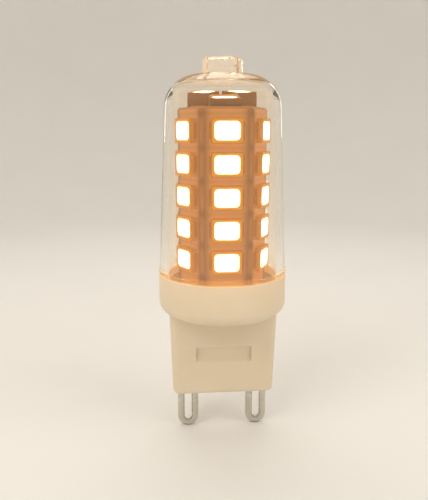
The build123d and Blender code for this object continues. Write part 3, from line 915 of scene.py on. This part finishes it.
def add_led_frame(bm):
    """The moulded frame of one LED, standing on the XY plane with its length along X."""
    others = set(bm.verts)
    glow = bm.verts.layers.float["glow"]
    box = add_box(bm, (LED_L, LED_W, LED_H), (0, 0, LED_H / 2))
    marked = min(upright_edges(box), key=lambda edge: edge.verts[0].co.x - edge.verts[0].co.y)
    bm.normal_update()
    lid = top_face(box)
    bmesh.ops.inset_region(bm, faces=[lid], thickness=LED_RIM, use_even_offset=True)
    bmesh.ops.inset_region(bm, faces=[lid], thickness=POCKET_STEP, depth=-WINDOW_DEPTH, use_even_offset=True)
    pocket_floor = set(lid.verts)
    corners = [e for v in lid.verts for e in v.link_edges if e.other_vert(v) not in pocket_floor]
    round_edges(bm, corners, WINDOW_CORNER, segments=4)
    round_edges(bm, [marked], LED_MARK, segments=1)
    made = [vertex for vertex in bm.verts if vertex not in others]
    outside = {v for v in made if abs(v.co.x) > RIM_MID_L / 2 or abs(v.co.y) > RIM_MID_W / 2}
    outer = [
        edge for edge in edges_between(made)
        if edge.calc_face_angle(0) > SHARP_ANGLE
        and any(vertex in outside for vertex in edge.verts)
        and any(vertex.co.z > LED_H / 2 for vertex in edge.verts)
    ]
    round_edges(bm, outer, FRAME_EDGE, segments=2)
    for vertex in bm.verts:
        if vertex not in others:
            gap = max(abs(vertex.co.x) - WINDOW_L / 2, abs(vertex.co.y) - WINDOW_W / 2)
            near = 1 - SIDE_SHADE * min(max(gap, 0.0) / LED_RIM, 1.0)
            vertex[glow] = near * max(vertex.co.z, 0.0) / LED_H


print(f"window {WINDOW_L:.2f} x {WINDOW_W:.2f} mm, drawn in by {POCKET_STEP:.2f} mm at its floor")

# %% The phosphor fill and the terminals
FILL_DROP = 0.03
FILL_SWELL = 0.8
FILL_RINGS = (0.1, 0.2, 0.3)
TERMINAL_L = 0.22
TERMINAL_W = 1.9
SOLDER_HEEL = 0.3
SOLDER_TOE = 0.08

TERMINAL_X = (LED_L + TERMINAL_L) / 2


def add_phosphor(bm):
    """The phosphor fill of one LED's pocket, slightly sunk at its edge and swelling to the middle."""
    others = set(bm.verts)
    glow = bm.verts.layers.float["glow"]
    depth = WINDOW_DEPTH - FILL_DROP
    box = add_box(bm, (WINDOW_L, WINDOW_W, depth), (0, 0, LED_H - FILL_DROP - depth / 2))
    foot = [vertex for vertex in box if vertex.co.z < LED_H - WINDOW_DEPTH / 2]
    draw_in = (1 - 2 * POCKET_STEP / WINDOW_L, 1 - 2 * POCKET_STEP / WINDOW_W, 1)
    bmesh.ops.scale(bm, vec=draw_in, verts=foot)
    round_edges(bm, upright_edges(box), WINDOW_CORNER, segments=4)
    bm.normal_update()
    made = [vertex for vertex in bm.verts if vertex not in others]
    lid = top_face(made)
    for vertex in made:
        vertex[glow] = 0.0
    for step, width in enumerate(FILL_RINGS):
        bmesh.ops.inset_region(
            bm, faces=[lid], thickness=width, depth=FILL_SWELL * FILL_DROP / len(FILL_RINGS),
            use_even_offset=True)
        for vertex in lid.verts:
            vertex[glow] = (step + 1) / len(FILL_RINGS)


def add_terminals(bm):
    """The two soldered terminals of one LED, each a wedge that leans on the frame's end."""
    for side in (-1, 1):
        size = (TERMINAL_L, TERMINAL_W, SOLDER_HEEL)
        block = add_box(bm, size, (side * TERMINAL_X, 0, SOLDER_HEEL / 2))
        toe = [v for v in block if v.co.z > SOLDER_TOE and abs(v.co.x) > TERMINAL_X]
        bmesh.ops.translate(bm, vec=(0, 0, SOLDER_TOE - SOLDER_HEEL), verts=toe)
        ridge = [e for e in edges_between(block) if all(v.co.z > SOLDER_TOE / 2 for v in e.verts)]
        round_edges(bm, ridge, SOLDER_TOE / 2, segments=2)


print(f"terminals {TERMINAL_L} mm long, {TERMINAL_X:.2f} mm from the middle of the LED")

# %% Place the LEDs on the strips and the top board
TOP_LED_COUNT = 3
TOP_LED_GAP = 0.09
TOP_LED_R = LED_L / 2 / math.tan(math.pi / TOP_LED_COUNT) + LED_W / 2 + TOP_LED_GAP


def top_led_place(index):
    """Place on the top board under one of its LEDs: X runs round the axis, and Z up."""
    turn = turn_of(index, TOP_LED_COUNT)
    across = Matrix.Translation((TOP_LED_R * math.cos(turn), TOP_LED_R * math.sin(turn), top_high.z))
    return across @ Matrix.Rotation(turn + math.pi / 2, 4, "Z")


def add_leds(places, name, frame_plastic, nodes):
    """The frames, phosphor fills and terminals of a group of LEDs, as three pieces."""
    kinds = (
        (add_led_frame, "frames", frame_plastic, "led_frame"),
        (add_phosphor, "phosphor", phosphor, "led_phosphor"),
        (add_terminals, "terminals", tin_solder, "solder"),
    )
    for (make_shape, label, material, slot), node in zip(kinds, nodes):
        group = bmesh.new()
        group.verts.layers.float.new("glow")
        for place in places:
            add_placed(group, make_shape, place)
        finish_piece(f"{name}_{label}", group, [material], slot, node)


for index in range(STRIP_COUNT):
    number = index + 1
    rows = [strip_place(index, FIRST_ROW_Z + row * LED_PITCH) for row in range(LED_ROWS)]
    add_leds(rows, f"strip_{number}_led", led_frame_plastic,
             [f"led_frames_{number}", f"led_windows_{number}", f"led_terminals_{number}"])
add_leds([top_led_place(index) for index in range(TOP_LED_COUNT)], "crown_led", crown_frame_plastic,
         ["top_led_frames", "top_led_windows", "top_led_terminals"])

# %% [markdown]
# ## The pieces kept as solids
# The base board, the solder at the top and the driver inside the plug keep their solids, whose shapes are
# right as they are. Each only needs its material: green solder mask on the driver's board, moulded black
# epoxy on its chips, and a dark shrunk sleeve on the capacitor.

# %% Dress the kept solids
green_board = make_plain_finish("green_solder_mask", "#1F5A38", "#2F7348", size_mm=0.8, roughness=0.36)
black_epoxy = make_plain_finish("black_epoxy_moulded", "#17171A", "#26262A", size_mm=0.25, roughness=0.5)
capacitor_sleeve = make_plain_finish(
    "capacitor_sleeve_pvc", "#20242C", "#2E333D", size_mm=1.2, roughness=0.34)
# The base board and the top solder carry the painted amber light and painted glow of their finishes.
KEPT_FINISHES = {
    "base_board": flat_mask, "top_solder": tin_solder, "driver_board": green_board,
    "bridge_rectifier": black_epoxy, "driver_chip": black_epoxy, "chip_resistors": black_epoxy,
    "smoothing_capacitor": capacitor_sleeve,
}
for node, material in KEPT_FINISHES.items():
    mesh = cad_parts[node].data
    mesh.materials.clear()
    mesh.materials.append(material)
print("solids kept:", ", ".join(KEPT_FINISHES))

# %% [markdown]
# ## The studio
# The floor runs up into a round wall on every side, like a bowl, so the same pale backdrop shows from any
# angle. A flat floor with one wall would show its end in other views. Soft lamps light the bulb from both
# sides and above at a plain level, and its own light adds the warmth. Two narrow strip lamps behind it light
# no surface: they only show as fine bright lines in the clear cover, which draw its outline.

# %% Floor and backdrop
FLOOR_R = 300
COVE_R = 120
WALL_TOP = 420
MOTTLE_MM = 25


def make_studio_paper():
    """Matt warm-white paper, so even that only a faint mottle is left."""
    material, tree, output = new_material("studio_paper_matt")
    place = add_node(tree, "TexCoord").outputs["Object"]
    mottle = add_node(tree, "TexNoise", {"Vector": place, "Scale": per_metre(MOTTLE_MM), "Detail": 3})
    paper = add_node(tree, "Mix", {
        "Factor": mottle.outputs[0], "A": linear("#EFEDE9"), "B": linear("#F4F2EE"),
    }, data_type="RGBA")
    shader = add_node(tree, "BsdfPrincipled", {
        "Base Color": paper.outputs["Result"], "Roughness": 0.9, "Specular IOR Level": 0.0,
    })
    tree.links.new(shader.outputs[0], output.inputs["Surface"])
    return material


bowl = bmesh.new()
spin_profile(bowl, [(0, PIN_TIP_Z), (FLOOR_R, PIN_TIP_Z), (FLOOR_R, WALL_TOP)])
round_edges(bowl, ring_edges(bowl, FLOOR_R, PIN_TIP_Z), COVE_R, segments=16)
bmesh.ops.scale(bowl, vec=(MM, MM, MM), verts=bowl.verts)
for face in bowl.faces:
    face.smooth = True
backdrop_mesh = bpy.data.meshes.new("studio_bowl")
bowl.to_mesh(backdrop_mesh)
bowl.free()
backdrop_mesh.materials.append(make_studio_paper())
backdrop = bpy.data.objects.new("studio_bowl", backdrop_mesh)
bpy.context.scene.collection.objects.link(backdrop)
print("studio bowl", 2 * FLOOR_R, "mm across")

# %% Lamps and world
# Each lamp has its spot and size in millimetres, its watts, and whether it lights surfaces and is mirrored.
LAMPS = {
    "key_softbox": ((-100, -112, 155), (115, 115), 0.125, True, False),
    "fill_softbox": ((120, -85, 150), (115, 115), 0.075, True, False),
    "back_softbox": ((0, 100, 170), (170, 105), 0.087, True, True),
    "left_rim_light": ((-130, 235, 40), (16, 180), 0.035, False, True),
    "right_rim_light": ((130, 235, 40), (16, 180), 0.035, False, True),
}
LAMP_TINT = "#FFF9F1"
WORLD_TINT = "#F6F1EA"
WORLD_STRENGTH = 0.75
AIM = Vector((0, 0, 8)) * MM
for name, (spot, (width, height), watts, lights, mirrored) in LAMPS.items():
    lamp = bpy.data.lights.new(name, "AREA")
    lamp.shape = "RECTANGLE"
    lamp.size = width * MM
    lamp.size_y = height * MM
    lamp.energy = watts
    lamp.color = linear(LAMP_TINT)[:3]
    lamp_object = bpy.data.objects.new(name, lamp)
    lamp_object.location = Vector(spot) * MM
    lamp_object.rotation_euler = (AIM - lamp_object.location).to_track_quat("-Z", "Y").to_euler()
    lamp_object.visible_diffuse = lights
    lamp_object.visible_glossy = mirrored
    lamp_object.visible_transmission = False
    bpy.context.scene.collection.objects.link(lamp_object)

world = bpy.data.worlds.new("studio_air")
bpy.context.scene.world = world
world.use_nodes = True
world.node_tree.nodes["Background"].inputs["Color"].default_value = linear(WORLD_TINT)
world.node_tree.nodes["Background"].inputs["Strength"].default_value = WORLD_STRENGTH
bpy.context.scene.view_settings.view_transform = "Standard"
print("lamps:", ", ".join(LAMPS))

# %% [markdown]
# ## The camera
# The photograph looks slightly down at the bulb from close by, which is why the collar's rim and the top
# show as open ellipses. The distance, height and tilt below were worked out from those ellipses and the
# bulb's real size.

# %% Camera
CAMERA_DISTANCE = 70.0
CAMERA_Z = 22.075
CAMERA_SHIFT = 1.04
CAMERA_TURN = math.radians(4.7)
CAMERA_PITCH = math.radians(11.57)
IMAGE_HEIGHT_PX = 500
FOCAL_PX = 565.6

camera_data = bpy.data.cameras.new("camera")
camera_data.lens = FOCAL_PX / IMAGE_HEIGHT_PX * camera_data.sensor_width
camera_data.clip_start = 1 * MM
camera = bpy.data.objects.new("camera", camera_data)
forward = Vector((math.sin(CAMERA_TURN), math.cos(CAMERA_TURN), 0))
rightward = Vector((forward.y, -forward.x, 0))
camera.location = (-forward * CAMERA_DISTANCE - rightward * CAMERA_SHIFT + Vector((0, 0, CAMERA_Z))) * MM
look = forward * math.cos(CAMERA_PITCH) - Vector((0, 0, math.sin(CAMERA_PITCH)))
camera.rotation_euler = look.to_track_quat("-Z", "Y").to_euler()
bpy.context.scene.collection.objects.link(camera)
bpy.context.scene.camera = camera
print(f"lens {camera_data.lens:.2f} mm")
